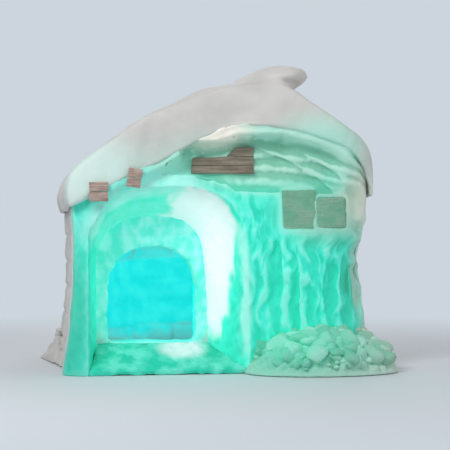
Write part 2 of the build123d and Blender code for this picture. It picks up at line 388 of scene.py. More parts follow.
def new_material(name):
    """An empty material with a Principled shader: (material, tree, shader)."""
    material = bpy.data.materials.new(name)
    material.use_nodes = True
    tree = material.node_tree
    tree.nodes.clear()
    shader = add(tree, "BsdfPrincipled")
    add(tree, "OutputMaterial", links={"Surface": shader.outputs["BSDF"]})
    return material, tree, shader


# Patterns for the finishes. All use the pieces' own coordinates, in metres


def stretch(tree, size_mm):
    """The piece's coordinates counted in steps of the given real size in millimetres."""
    place = add(tree, "TexCoord").outputs["Object"]
    return add(tree, "VectorMath", PRODUCT,
               {1: tuple(1000.0 / s for s in size_mm)}, {0: place}).outputs[0]


def mottle(tree, size_mm, low, high, detail=3.0):
    """Soft irregular patches of the given size: 0 below low, 1 above high."""
    pattern = add(tree, "TexNoise", {}, {"Scale": 1.0, "Detail": detail},
                  {"Vector": stretch(tree, size_mm)})
    return add(tree, "MapRange", SOFT_ENDS,
               {"From Min": low, "From Max": high}, {"Value": pattern.outputs["Fac"]}).outputs[0]


def spot(tree, centre, radii, fade):
    """1 inside an ellipsoid about a place, 0 outside it, with a soft edge."""
    place = add(tree, "TexCoord").outputs["Object"]
    apart = add(tree, "VectorMath", {"operation": "SUBTRACT"}, {1: centre}, {0: place})
    inside = add(tree, "VectorMath", {"operation": "DIVIDE"}, {1: radii}, {0: apart.outputs[0]})
    far_off = add(tree, "VectorMath", {"operation": "LENGTH"}, {}, {0: inside.outputs[0]})
    return add(tree, "MapRange", SOFT_ENDS,
               {"From Min": 1.0, "From Max": 1.0 - fade},
               {"Value": far_off.outputs["Value"]}).outputs[0]


def noted(tree, name, low=0.0, high=1.0):
    """A number noted on the mesh, stretched from low..high to 0..1."""
    source = add(tree, "Attribute", {"attribute_name": name})
    return add(tree, "MapRange", SOFT_ENDS,
               {"From Min": low, "From Max": high}, {"Value": source.outputs["Fac"]}).outputs[0]


def blend(tree, share, lower, upper, most=1.0):
    """Colour upper laid on lower by a share times most; a colour is a hex code or an output."""
    if most < 1.0:
        share = add(tree, "Math", PRODUCT, {1: most}, {0: share}).outputs[0]
    values = {place: linear(c) for place, c in ((6, lower), (7, upper)) if isinstance(c, str)}
    links = {place: c for place, c in ((6, lower), (7, upper)) if not isinstance(c, str)}
    links[0] = share
    return add(tree, "Mix", {"data_type": "RGBA"}, values, links).outputs[2]


def grained(tree, shader, colour, roughness, size_mm, depth_mm):
    """Colour, roughness and fine relief of grains, drawn as coarse as it needs to show."""
    tree.links.new(colour, shader.inputs["Base Color"])
    shader.inputs["Roughness"].default_value = roughness
    grains = add(tree, "TexNoise", {}, {"Scale": 1.0, "Detail": 4.0, "Roughness": 0.62},
                 {"Vector": stretch(tree, size_mm)})
    bump = add(tree, "Bump", {}, {"Strength": 1.0, "Distance": depth_mm / 1000.0},
               {"Height": grains.outputs["Fac"]})
    tree.links.new(bump.outputs["Normal"], shader.inputs["Normal"])


def grained_snow(tree, shader, colour, roughness, size_mm, depth_mm, painted_glow=None):
    """Grained as above, with ice's refraction; where a glow is given, the snow glows with painted
    light.
    """
    grained(tree, shader, colour, roughness, size_mm, depth_mm)
    shader.inputs["IOR"].default_value = ICE_IOR
    if painted_glow is not None:
        tree.links.new(colour, shader.inputs["Emission Color"])
        tree.links.new(painted_glow, shader.inputs["Emission Strength"])


def chiselled_snow(colours):
    """Chiselled icy snow under a thin glaze, coloured with painted aqua light: paler on its ridges
    as painted highlight, deeper in its hollows as painted shade, and white where the doorway's
    light falls on it. A painted glow carries that light a little way."""
    material, tree, shader = new_material("chiselled icy snow")
    # painted highlight and shade by relief: paler aqua on ridges and crests, deeper in hollows
    ridge = noted(tree, "relief", 0.25, 0.80)
    colour = blend(tree, ridge, colours.painted_aqua_in_hollows, colours.painted_aqua_on_ridges)
    patches = mottle(tree, (170, 170, 520), 0.40, 0.66)
    colour = blend(tree, patches, colour, "#3DF0D2", 0.5)
    crest = noted(tree, "relief", 0.66, 1.0)
    colour = blend(tree, crest, colour, "#9CFCEC", 0.55)
    # painted light falling off from the doorway: greyer about the sawn blocks, paler under the
    # hood, whitest over the sign against the hood's shade, pale green beside it
    grey = spot(tree, (1.35, FRONT_FACE, 2.10), (0.92, 1.2, 0.60), 0.9)
    colour = blend(tree, grey, colour, blend(tree, ridge, "#7DB69B", "#A2D2BA"), 0.85)
    high = spot(tree, (0.65, FRONT_FACE, 3.0), (2.15, 1.2, 0.80), 0.55)
    colour = blend(tree, high, colour, blend(tree, ridge, "#93CFB6", "#C6F2E0"), 0.9)
    above = spot(tree, (-0.16, FRONT_FACE, 3.18), (0.70, 1.2, 0.32), 0.7)
    colour = blend(tree, above, colour, "#F3EDE2")
    beside = spot(tree, (-0.75, FRONT_FACE, 2.72), (0.45, 1.2, 0.26), 0.8)
    colour = blend(tree, beside, colour, "#B2F2DC")
    # its two ends in painted light: the right one paler where the teal light fades, the left one in
    # deeper aqua as painted shade
    end = spot(tree, (1.95, FRONT_FACE + 0.2, 2.32), (0.62, 0.8, 0.78), 0.8)
    colour = blend(tree, end, colour, blend(tree, ridge, "#BFD3C0", "#DDE6D8"))
    painted_pier_shade = spot(tree, (-2.0, FRONT_FACE, 0.8), (0.34, 1.0, 1.6), 0.7)
    colour = blend(tree, painted_pier_shade, colour, "#3DC2A4", 0.7)
    plain = blend(tree, patches, "#D4DDD8", colours.snow_light)
    colour = blend(tree, noted(tree, "away"), colour, plain)
    # painted light: paler aqua round the arch and further in, white where the doorway's light falls
    colour = blend(tree, noted(tree, "pale"), colour, "#ACFBEE")
    colour = blend(tree, noted(tree, "lit"), colour, colours.painted_white_light)
    # painted glow, standing in for the lamplight: the niche glows most, then the ice about it and
    # the white over the sign
    niche = spot(tree, (-0.80, FRONT_FACE + 0.5, 1.3), (1.30, 0.85, 1.75), 0.4)
    aqua = spot(tree, (-0.1, FRONT_FACE, 1.1), (2.3, 1.0, 1.9), 0.5)
    faint = add(tree, "Math", PRODUCT, {1: 0.12}, {0: aqua})
    painted_light_over_sign = add(tree, "Math", PRODUCT, {1: 0.14}, {0: above})
    around = add(tree, "Math", GREATER, {}, {0: faint.outputs[0], 1: painted_light_over_sign.outputs[0]})
    painted_glow = add(tree, "Math", {"operation": "MULTIPLY_ADD"}, {1: 0.22},
               {0: niche, 2: around.outputs[0]})
    grained_snow(tree, shader, colour, 0.42, (14, 14, 22), 6.0, painted_glow.outputs[0])
    return material


def drifted_snow(colours):
    """Smooth drifted snow: matt and warm white, faintly greenish near the doorway's light."""
    material, tree, shader = new_material("drifted snow")
    patches = mottle(tree, (1300, 1600, 700), 0.36, 0.68)
    colour = blend(tree, patches, colours.snow_shade, colours.snow_light)
    # painted light: greenish tints where the doorway's teal light reaches the hood, and its right
    # end painted lighter against its shade
    painted_hood_light = spot(tree, (0.15, HOOD_FACE, 2.35), (2.2, 0.9, 1.02), 0.5)
    colour = blend(tree, painted_hood_light, colour, "#BFE9D8", 0.5)
    left = spot(tree, (-1.75, HOOD_FACE, 2.6), (0.95, 1.0, 0.75), 0.7)
    colour = blend(tree, left, colour, "#D3EEE6", 0.8)
    right = spot(tree, (1.30, HOOD_FACE, 2.98), (0.95, 0.9, 0.62), 0.8)
    colour = blend(tree, right, colour, "#BDF0DF")
    end = spot(tree, (2.15, HOOD_FACE, 2.45), (0.5, 0.6, 0.5), 0.8)
    colour = blend(tree, end, colour, "#E6F6EC")
    grained_snow(tree, shader, colour, 0.72, (22, 22, 22), 4.0)
    return material


def packed_snow(colours, name):
    """Wind-packed building snow: matt white blocks outside, cyan light in the room's icy walls."""
    material, tree, shader = new_material(name)
    patches = mottle(tree, (900, 900, 420), 0.36, 0.68)
    outside = blend(tree, patches, colours.snow_shade, colours.snow_light)
    # painted light: cyan of the room's light on its walls and aqua of the teal light about the
    # doorway, both glowing; the rubbed patches are random patches of that painted light
    room = spot(tree, (ROOM_AXIS[0], ROOM_AXIS[1], 0.9), (1.72, 1.72, 2.3), 0.06)
    painted_entry_light = spot(tree, (DOOR_MIDDLE, FRONT_BACK, 1.15), (1.1, 1.3, 1.35), 0.25)
    inner = blend(tree, mottle(tree, (260, 260, 200), 0.35, 0.7), colours.painted_room_light, "#45F0EC")
    rubbed = mottle(tree, (160, 160, 240), 0.36, 0.66)
    colour = blend(tree, painted_entry_light, outside, blend(tree, rubbed, "#5CEFDC", "#9DFAF0"))
    colour = blend(tree, room, colour, inner)
    by_door = add(tree, "Math", PRODUCT, {1: 0.55}, {0: painted_entry_light})
    inside = add(tree, "Math", GREATER, {}, {0: room, 1: by_door.outputs[0]})
    painted_glow = add(tree, "Math", PRODUCT, {1: 0.42}, {0: inside.outputs[0]})
    grained_snow(tree, shader, colour, 0.62, (16, 16, 16), 5.0, painted_glow.outputs[0])
    return material


def sawn_block(colours):
    """Sawn snow block: grey-green in the front wall's painted aqua light, with the saw's fine
    slanting marks.
    """
    material, tree, shader = new_material("sawn snow block")
    marks = mottle(tree, (160, 160, 14), 0.35, 0.65)
    patches = mottle(tree, (260, 260, 170), 0.32, 0.72)
    colour = blend(tree, patches, colours.block_grey, "#93BBA4")
    colour = blend(tree, marks, colour, "#6A9C84", 0.35)
    grained_snow(tree, shader, colour, 0.7, (60, 60, 9), 3.0)
    return material


def trodden_snow(colours):
    """Trodden snow: pressed smooth and slightly glossy, pale aqua from the light on it."""
    material, tree, shader = new_material("trodden snow")
    patches = mottle(tree, (240, 300, 200), 0.36, 0.66)
    colour = blend(tree, patches, "#30D2B3", "#74ECD6")
    # painted light: a pool of the doorway's white light at the foot of the niche
    painted_light_pool = spot(tree, (-0.50, FRONT_FACE + 0.55, 0.32), (0.42, 0.42, 0.3), 0.6)
    colour = blend(tree, painted_light_pool, colour, colours.painted_white_light)
    grained_snow(tree, shader, colour, 0.38, (40, 40, 40), 8.0)
    return material


def broken_snow(colours):
    """Broken snow: matt, each lump a shade of its own, greener before the front wall, where the
    doorway's teal light is painted on and glows.
    """
    material, tree, shader = new_material("broken snow")
    patches = mottle(tree, (420, 420, 260), 0.36, 0.66)
    lump = add(tree, "NewGeometry").outputs["Random Per Island"]
    colour = blend(tree, lump, colours.snow_shade, colours.snow_light)
    # painted light: grey-green and then aqua of the doorway's teal light on the snow before the
    # front wall, with a painted glow
    front = spot(tree, (1.3, FRONT_FACE - 0.3, 0.2), (1.6, 1.1, 0.9), 0.5)
    colour = blend(tree, front, colour, blend(tree, lump, "#A6BFB2", colours.snow_light))
    colour = blend(tree, patches, colour, colours.snow_shade, 0.4)
    near = spot(tree, (0.95, FRONT_FACE - 0.2, 0.35), (1.95, 1.15, 0.9), 0.9)
    colour = blend(tree, near, colour, blend(tree, lump, "#3CC49F", "#93ECD4"))
    painted_glow = add(tree, "Math", PRODUCT, {1: 0.10}, {0: near})
    grained_snow(tree, shader, colour, 0.75, (30, 30, 30), 9.0, painted_glow.outputs[0])
    return material


def weathered_boards(name, dark, light):
    """Weathered softwood: unpainted, with silvered grain standing along each board."""
    material, tree, shader = new_material(name)
    along = mottle(tree, (420, 30, 9), 0.34, 0.68, 6.0)
    patches = mottle(tree, (160, 60, 90), 0.4, 0.7)
    colour = blend(tree, along, dark, light)
    colour = blend(tree, patches, colour, "#5E4D43", 0.4)
    grained(tree, shader, colour, 0.82, (300, 20, 6), 2.5)
    return material


# Sculpting


def block_joints(along, height, snow):
    """How deep the rubbed joints of a running bond of blocks are at each place, 0 to 1."""
    wave = 0.02 * np.sin(along * 2.1) + 0.015 * np.sin(along * 5.3 + 1.0)
    row = (height + wave) / snow.course_height
    course = np.floor(row)
    to_bed = np.abs(row - np.round(row)) * snow.course_height
    slot = along / snow.block_length + 0.5 * np.mod(course, 2) + 0.13 * np.sin(course * 2.4)
    to_side = np.abs(slot - np.round(slot)) * snow.block_length
    width = 0.034
    return np.maximum(np.exp(-(to_bed / width) ** 2), np.exp(-(to_side / width) ** 2))


def wall_length(points):
    """Distance along the outside of the walls, from the right front corner round the back."""
    x, y = points[:, 0] - ROOM_AXIS[0], points[:, 1] - ROOM_AXIS[1]
    bearing = np.arctan2(np.maximum(y, 0.0), x)
    straight = np.where(x > 0, np.minimum(y, 0.0), -np.minimum(y, 0.0))
    return WALL_RADIUS * bearing + straight


class IGLOO_OT_walls(Operator):
    """Sculpts the side and back walls as one mass of snow blocks with rubbed joints."""

    bl_idname = "igloo.walls"
    bl_label = "Walls"

    def execute(self, context):
        snow = context.scene.igloo_snow
        nodes = ["wall_right", "wall_back_right", "wall_back", "wall_back_left", "wall_left",
                 "inner_wall_left", "inner_wall_right", "inner_wall_head",
                 "door_jamb_left", "door_jamb_right", "door_head", "door_sill"]

        def reach(points):
            # up into the dome, so that no gap opens
            points[points[:, 2] > SPRINGING - 0.01, 2] += 0.045

        obj = snow_mass("igloo_walls", nodes, snow.wall_grain, reach)
        points, facing = coordinates(obj.data), normals(obj.data)
        from_axis = np.hypot(points[:, 0] - ROOM_AXIS[0], points[:, 1] - ROOM_AXIS[1])
        inside = (from_axis < ROOM_RADIUS + 0.10) & (points[:, 1] > FRONT_BACK + 0.25)
        bearing = np.arctan2(points[:, 1] - ROOM_AXIS[1], points[:, 0] - ROOM_AXIS[0])
        along = np.where(inside, ROOM_RADIUS * bearing, wall_length(points))
        upright = 1.0 - np.clip(np.abs(facing[:, 2]), 0.0, 1.0) ** 2
        joints = block_joints(along, points[:, 2], snow) * upright
        worn = 0.6 + 0.4 * smooth_step(-0.35, 0.25, rough(points, 0.9, 2))
        amount = -snow.joint_depth * joints * worn
        amount += 0.022 * rough(points, 0.55) + 0.006 * rough(points, 0.11, 2)
        move_along_normals(obj, amount - 0.012)
        material = packed_snow(context.scene.igloo_colours, "packed snow")
        finish_piece(obj, material, "packed_snow", *nodes)
        return {"FINISHED"}


class IGLOO_OT_dome(Operator):
    """Gives the dome's gores and its crown the walls' snow."""

    bl_idname = "igloo.dome"
    bl_label = "Dome"

    def execute(self, context):
        material = packed_snow(context.scene.igloo_colours, "packed snow of the dome")
        for name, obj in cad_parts.items():
            if name.startswith(("dome_", "crown_")):
                obj.data.materials.clear()
                obj.data.materials.append(material)
        return {"FINISHED"}


def flutes(points):
    """Coarse and fine flutes that run along the face, then round the corner or into the niche."""
    x, y, z = points.T
    sheet = np.stack([x - 0.9 * (y - FRONT_FACE), 0.25 * y, z], axis=1)
    sheet[:, 0] += 0.15 * rough(sheet, 0.5, 2)
    coarse = ridges(sheet, (0.25, 0.5, 0.95))
    fine = ridges(sheet + 7.3, (0.085, 0.3, 0.42))
    return 0.75 * coarse + 0.30 * fine - 0.80


def drift_layers(points, below):
    """Layers of drifted snow over the doorway, which close up towards the right."""
    x, z = points[:, 0], points[:, 2]
    foot = np.interp(x, (-0.8, 0.5, 1.9), (2.40, 2.42, 2.28))
    row = 4.0 * below / np.maximum(z + below - foot, 0.05)
    row = row + 0.22 * rough(points, (0.8, 0.8, 0.3), 2)
    part = row - np.floor(row)
    return smooth_step(0.0, 0.6, part) * (1.0 - smooth_step(0.65, 1.0, part))


def apart_from_blocks(x, z):
    """How far each place lies from the sawn blocks, seen from the front."""
    apart = np.full(len(x), 9.0)
    for name in SAWN_BLOCKS:
        low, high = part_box(name)
        beside = np.maximum(np.maximum(low[0] - x, x - high[0]), 0.0)
        over = np.maximum(np.maximum(low[2] - z, z - high[2]), 0.0)
        apart = np.minimum(apart, np.hypot(beside, over))
    return apart


def note_light(mesh):
    """Notes where the sides lose the aqua light, and where the doorway's white light falls."""
    points, facing = coordinates(mesh), normals(mesh)
    x, y, z = points.T
    outer = smooth_step(1.2, 1.5, x) + smooth_step(-1.80, -1.88, x)
    note_on_mesh(mesh, "away", outer * smooth_step(FRONT_FACE + 0.10, FRONT_FACE + 0.62, y))
    # from the face, 0, to the niche's inner end, 1, its arch shifts left and comes down
    share = (y - FRONT_FACE) / (FRONT_BACK - FRONT_FACE)
    middle, spring = NICHE_MIDDLE - 0.155 * share, NICHE_SPRING - 0.18 * share
    angle = np.degrees(np.arctan2(np.maximum(z - spring, 0.0), x - middle))
    inward = smooth_step(0.02, 0.32, (-facing[:, 0] * np.cos(np.radians(angle))
                                      - facing[:, 2] * np.sin(np.radians(angle))))
    uneven = rough(points, (0.16, 0.16, 0.40), 3)
    rim = np.hypot((x - NICHE_MIDDLE) / NICHE_HALF,
                   np.maximum(z - NICHE_SPRING, 0.0) / NICHE_RISE)
    # the white starts near the rim over the arch, and deeper in the lower it comes down
    nearest = 0.27 * smooth_step(58.0, 20.0, angle) * (1.0 + 1.4 * smooth_step(1.4, 0.3, z))
    nearest += 0.18 * uneven
    lit = smooth_step(nearest - 0.10, nearest + 0.12, share) * inward * (x > middle)
    lit *= smooth_step(1.10, 1.0, rim)
    lit *= (smooth_step(90.0, 68.0, angle + 10.0 * uneven)
            * smooth_step(0.30, 0.60, z + 0.1 * uneven))
    relax_values(mesh, lit, 4)
    note_on_mesh(mesh, "lit", lit)
    # painted light: a paler band round the arch, a streak down the right rim and pale snow further
    # in
    pale = np.exp(-((rim - 1.02) / 0.21) ** 2) * smooth_step(0.8, 0.2, share)
    pale *= smooth_step(50.0, 85.0, angle) * smooth_step(1.5, 1.95, z)
    edge = np.exp(-((rim - 0.96 + 0.05 * uneven) / 0.06) ** 2) * (x > middle) * (share < 0.4)
    edge *= smooth_step(62.0, 40.0, angle) * smooth_step(0.10, 0.35, z)
    inner = 0.40 * smooth_step(0.25, 0.6, share) * smooth_step(0.1, 0.4, -facing[:, 2])
    inner *= rim < 1.0
    pale = np.maximum(np.maximum(pale, edge) * (0.85 + 0.4 * uneven), inner)
    relax_values(mesh, pale, 4)
    note_on_mesh(mesh, "pale", np.clip(pale, 0.0, 1.0))


class IGLOO_OT_front(Operator):
    """Sculpts the front wall with its flutes, layered arcs and the splayed doorway niche."""

    bl_idname = "igloo.front"
    bl_label = "Front wall"

    def execute(self, context):
        snow = context.scene.igloo_snow
        nodes = ["front_wall_left", "front_wall_right", "front_wall_head",
                 "entrance_jamb_right", "entrance_arch"]

        def reach(points):
            # back into the walls and up into the cap, so that no gap opens
            points[points[:, 1] > FRONT_BACK - 0.01, 1] += 0.05
            points[(under(CREASE, points) < 0.02) & (points[:, 2] > 2.1), 2] += 0.07

        obj = snow_mass("front_wall", nodes, snow.front_grain, reach)
        points, facing = coordinates(obj.data), normals(obj.data)
        x, y, z = points.T
        out, depth = outward_of_front(points)
        outward = smooth_step(0.35, 0.75, np.sum(facing * out, axis=1))
        below = under(CREASE, points)
        apart = apart_from_blocks(x, z)
        clear = 0.12 + 0.88 * smooth_step(0.03, 0.25, apart)
        # the flutes are deepest on the wide right half, below the blocks, and fade at the foot
        lower = 1.0 - smooth_step(1.95, 2.45, z)
        mask = 0.22 + 0.78 * smooth_step(0.05, 0.45, x) * lower
        mask *= 0.5 + 0.5 * smooth_step(0.55, 1.15, z + 0.25 * rough(points, 0.6, 2))
        mask *= np.where(depth > 0.06, np.maximum(outward, 0.35), outward) * clear
        amount = snow.flute_depth * mask * flutes(points)
        fan = smooth_step(-0.9, 0.4, x) * smooth_step(2.36, 2.6, z) * outward
        amount += 0.030 * (drift_layers(points, below) - 0.8) * fan
        # the mass to the right of the doorway swells forwards, and so does its jamb
        swell = np.exp(-((x - 0.95) / 0.75) ** 2 - ((z - 1.35) / 0.85) ** 2) * outward
        amount += 0.05 * swell
        jamb = smooth_step(0.3, 0.8, -facing[:, 0]) * smooth_step(-0.5, -0.1, x)
        amount += 0.05 * jamb * np.exp(-((z - 1.35) / 0.6) ** 2)
        amount += (0.018 * rough(points, 0.42) + 0.006 * rough(points, 0.10, 2)) * clear
        amount += 0.010 * np.exp(-(apart / 0.06) ** 2) * outward
        # the right flank hangs out under the hood's end and draws in at its waist
        flank = smooth_step(1.35, 1.75, x) * outward * clear
        amount += flank * (0.10 * smooth_step(1.65, 2.25, z) * smooth_step(2.05, 1.85, x)
                           - 0.10 * np.exp(-((z - 1.40) / 0.42) ** 2))
        points += facing * amount[:, None]
        # a cove of packed snow closes the crease, except over the sign
        cove = smooth_step(0.20, 0.02, below) * outward * smooth_step(-1.82, -1.55, x)
        cove *= smooth_step(1.85, 1.45, x) * smooth_step(2.0, 2.2, z)
        cove *= 1.0 - smooth_step(0.62, 0.50, np.abs(x)) * smooth_step(3.05, 3.0, z)
        points += out * (cove * np.maximum(depth + 0.11, 0.0))[:, None]
        keep_in_box(obj, points)
        note_relief(obj, 50, 0.016)
        note_light(obj.data)
        finish_piece(obj, chiselled_snow(context.scene.igloo_colours), "chiselled_snow", *nodes)
        return {"FINISHED"}


class IGLOO_OT_cap(Operator):
    """Sculpts the drifted snow cap with its rolled hood and the crest on top."""

    bl_idname = "igloo.cap"
    bl_label = "Snow cap"

    def execute(self, context):
        snow = context.scene.igloo_snow
        nodes = ["roof_snow_left", "roof_snow_right", "roof_snow_back", "snow_crest"]
        obj = snow_mass("snow_cap", nodes, snow.cap_grain)
        points = coordinates(obj.data)
        front = smooth_step(HOOD_FACE + 0.9, HOOD_FACE + 0.35, points[:, 1])
        on_top = smooth_step(3.55, 3.72, points[:, 2]) * smooth_step(0.15, 0.45, points[:, 0])
        relax(obj.data, points, 26, 0.12 + 0.45 * front * (1.0 - 0.9 * on_top))
        write_back(obj.data, points)
        points, facing = coordinates(obj.data), normals(obj.data)
        # x, y and z follow the points wherever they move below
        x, y, z = points.T
        outside = smooth_step(-0.35, 0.15, facing[:, 2]) + 0.6 * front
        drift = rough(np.stack([x, y * 0.6, z], axis=1), 0.85, 2)
        amount = 0.045 * (drift - 0.35) * np.clip(outside, 0, 1)
        amount += 0.008 * rough(points, 0.16, 2)
        # a fold in the hood, left of the middle, where two drifts meet
        fold = np.exp(-((x + 1.0 + 0.06 * np.sin(z * 5)) / 0.09) ** 2)
        fold *= front * (facing[:, 1] < -0.3)
        amount -= 0.018 * fold
        # the crest thins out towards the back
        proud = -under(CAP_LINE, points)
        thin = smooth_step(HOOD_FACE + 0.86, HOOD_FACE + 1.7, y) * smooth_step(0.0, 0.3, x)
        thin *= smooth_step(0.0, 0.12, proud) * (x < 1.45) * (y < 0.0)
        points[:, 2] -= 0.8 * thin * proud
        points[:, 0] -= 0.5 * thin * np.maximum(x - 0.6, 0.0)
        rear = smooth_step(HOOD_FACE + 0.75, HOOD_FACE + 1.1, y) * (y < 0.3)
        rear *= (proud > -0.12) * (np.abs(x) < 1.5)
        relax(obj.data, points, 44, 0.6 * rear)
        # the eaves along the sides and the back hang down unevenly
        eaves = smooth_step(-0.25, -0.7, facing[:, 2]) * (1.0 - front) * (z < 3.0)
        relax_values(obj.data, eaves, 5)
        points[:, 2] -= 0.05 * eaves * (0.5 + rough(points * (1.0, 1.0, 0.3), 0.42, 2))
        # a crease runs under the crest's lip at the front
        crease = z - (3.86 - 0.14 * (x - 0.66))
        lip = smooth_step(0.45, 0.80, x) * smooth_step(HOOD_FACE + 0.6, HOOD_FACE + 0.3, y)
        amount -= 0.032 * np.exp(-(crease / 0.03) ** 2) * lip
        points += facing * amount[:, None]
        # snow drifted up against the left end of the crest
        bump = np.exp(-((x + 0.12) / 0.55) ** 2 - ((y - HOOD_FACE - 0.72) / 0.75) ** 2)
        bump *= 0.14
        points[:, 2] += bump * smooth_step(0.0, 0.3, facing[:, 2]) * smooth_step(4.0, 3.8, z)
        keep_in_box(obj, points)
        finish_piece(obj, drifted_snow(context.scene.igloo_colours), "drifted_snow", *nodes)
        return {"FINISHED"}


class IGLOO_OT_ramp(Operator):
    """Sculpts the trodden ramp that leads up into the niche."""

    bl_idname = "igloo.ramp"
    bl_label = "Ramp"

    def execute(self, context):
        grain = context.scene.igloo_snow.front_grain
        obj = snow_mass("entrance_ramp_snow", ["entrance_ramp"], grain)
        points = coordinates(obj.data)
        treads = ridges(points, (0.26, 0.32, 0.4))
        move_along_normals(obj, 0.025 * (treads - 0.7) + 0.008 * rough(points, 0.09, 2))
        material = trodden_snow(context.scene.igloo_colours)
        finish_piece(obj, material, "trodden_snow", "entrance_ramp")
        return {"FINISHED"}


class IGLOO_OT_blocks(Operator):
    """Makes the two sawn blocks at the top right of the front wall."""

    bl_idname = "igloo.blocks"
    bl_label = "Sawn blocks"

    def execute(self, context):
        material = sawn_block(context.scene.igloo_colours)
        for name in SAWN_BLOCKS:
            obj = snow_mass(name + "_snow", [name], BLOCK_GRAIN)
            points = coordinates(obj.data)
            relax(obj.data, points, 12)
            points[:, 0] += 0.012 * rough(points, 0.25, 2)
            points[:, 2] += 0.012 * rough(points + 5.0, 0.25, 2)
            write_back(obj.data, points)
            points = coordinates(obj.data)
            amount = 0.012 + 0.012 * rough(points, 0.18) + 0.004 * rough(points, 0.04, 2)
            move_along_normals(obj, amount)
            finish_piece(obj, material, "snow_block", name)
        return {"FINISHED"}


def plank(work, corners, thickness, seed):
    """A board whose rear face lies in the upright plane y = 0; corners give (x, z)."""
    mine = bmesh.new()
    verts = [mine.verts.new((x, 0.0, z)) for x, z in corners]
    face = mine.faces.new(verts)
    moved = bmesh.ops.extrude_face_region(mine, geom=[face])
    front = [item for item in moved["geom"] if isinstance(item, bmesh.types.BMVert)]
    bmesh.ops.translate(mine, verts=front, vec=(0.0, -thickness, 0.0))
    bmesh.ops.recalc_face_normals(mine, faces=mine.faces)
    bmesh.ops.bevel(mine, geom=list(mine.edges), offset=0.004, segments=2, profile=0.6,
                    affect="EDGES")
    bmesh.ops.triangulate(mine, faces=[f for f in mine.faces if len(f.verts) > 4])
    for _ in range(4):
        long_edges = [e for e in mine.edges if e.calc_length() > 0.05]
        bmesh.ops.subdivide_edges(mine, edges=long_edges, cuts=1)
    for vert in mine.verts:
        place = Vector((vert.co.x * 5.0, seed * 3.7, vert.co.z * 12.0))
        vert.co += Vector((0.0, 0.004 * noise.noise(place), 0.003 * noise.noise(place * 1.7)))
    mesh = bpy.data.meshes.new("plank")
    mine.to_mesh(mesh)
    mine.free()
    work.from_mesh(mesh)
    bpy.data.meshes.remove(mesh)


def nail(work, x, z, depth):
    """A nail's low round head, 12 mm across, on a board's face."""
    steps = 8
    rings = [[], []]
    for ring, (radius, proud) in zip(rings, ((0.006, 0.0), (0.0042, 0.0025))):
        for step in range(steps):
            angle = 2 * math.pi * step / steps
            ring.append(work.verts.new((x + radius * math.cos(angle), -depth - proud,
                                        z + radius * math.sin(angle))))
    for step in range(steps):
        after = (step + 1) % steps
        work.faces.new((rings[0][step], rings[0][after], rings[1][after], rings[1][step]))
    work.faces.new(rings[1])
    work.faces.new(list(reversed(rings[0])))


def mesh_piece(name, work):
    """The finished bmesh as a linked object."""
    mesh = bpy.data.meshes.new(name)
    bmesh.ops.recalc_face_normals(work, faces=work.faces)
    work.to_mesh(mesh)
    work.free()
    return new_object(name, mesh)


class IGLOO_OT_boards(Operator):
    """Makes the bare sign over the doorway and the two small boards on the hood."""

    bl_idname = "igloo.boards"
    bl_label = "Boards"

    def execute(self, context):
        colours = context.scene.igloo_colours
        # the sign: three boards on the leaning face, given as (x, distance up the face)
        bottom, thickness, lean = 0.390, 0.026, math.radians(9.0)
        rows = [
            [(-0.430, bottom), (0.408, bottom), (0.404, 0.498), (-0.424, 0.492)],
            [(-0.420, 0.497), (0.410, 0.503), (0.408, 0.618), (0.030, 0.614), (-0.405, 0.592)],
            [(0.050, 0.623), (0.402, 0.624), (0.410, 0.744), (0.165, 0.738)],
        ]
        nails = [(-0.35, 0.44), (-0.34, 0.54), (0.33, 0.44), (0.34, 0.56), (0.33, 0.69),
                 (0.12, 0.67)]
        work = bmesh.new()
        for seed, row in enumerate(rows):
            plank(work, row, thickness, seed)
        for x, z in nails:
            nail(work, x, z, thickness)
        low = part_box("sign_board")[0]
        rear = low[1] + 0.028 * math.cos(lean) - bottom * math.sin(lean)
        foot = low[2] - bottom * math.cos(lean)
        turn = Matrix.Translation((0.0, rear, foot)) @ Matrix.Rotation(-lean, 4, "X")
        bmesh.ops.transform(work, matrix=turn, verts=work.verts)
        silvered = weathered_boards("weathered softwood", colours.board_brown, colours.board_grey)
        finish_piece(mesh_piece("sign_boards", work), silvered, "weathered_wood", "sign_board")
        # the small boards: a lower and an upper plank each, a nail in each corner
        bleached = weathered_boards("bleached softwood", "#A08579", "#C4B2A8")
        top, split = 0.125, 0.004
        for name, half, tilt in (("small_board_left", 0.1225, 0.0),
                                 ("small_board_right", 0.0925, 9.0)):
            work = bmesh.new()
            plank(work, [(-half, -top), (half, -top + 0.004), (half - 0.004, -split),
                         (-half + 0.003, 0.0)], 0.025, 5)
            plank(work, [(-half + 0.006, split + 0.002), (half, split), (half - 0.002, top),
                         (-half, top - 0.005)], 0.026, 6)
            for x in (-half * 0.7, half * 0.7):
                for z in (-top * 0.5, top * 0.5):
                    nail(work, x, z, 0.025)
            middle = Vector((middle_of(name, 0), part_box(name)[1][1], middle_of(name, 2)))
            turn = Matrix.Translation(middle) @ Matrix.Rotation(math.radians(tilt), 4, "Y")
            bmesh.ops.transform(work, matrix=turn, verts=work.verts)
            finish_piece(mesh_piece(name + "_planks", work), bleached, "weathered_wood", name)
        return {"FINISHED"}


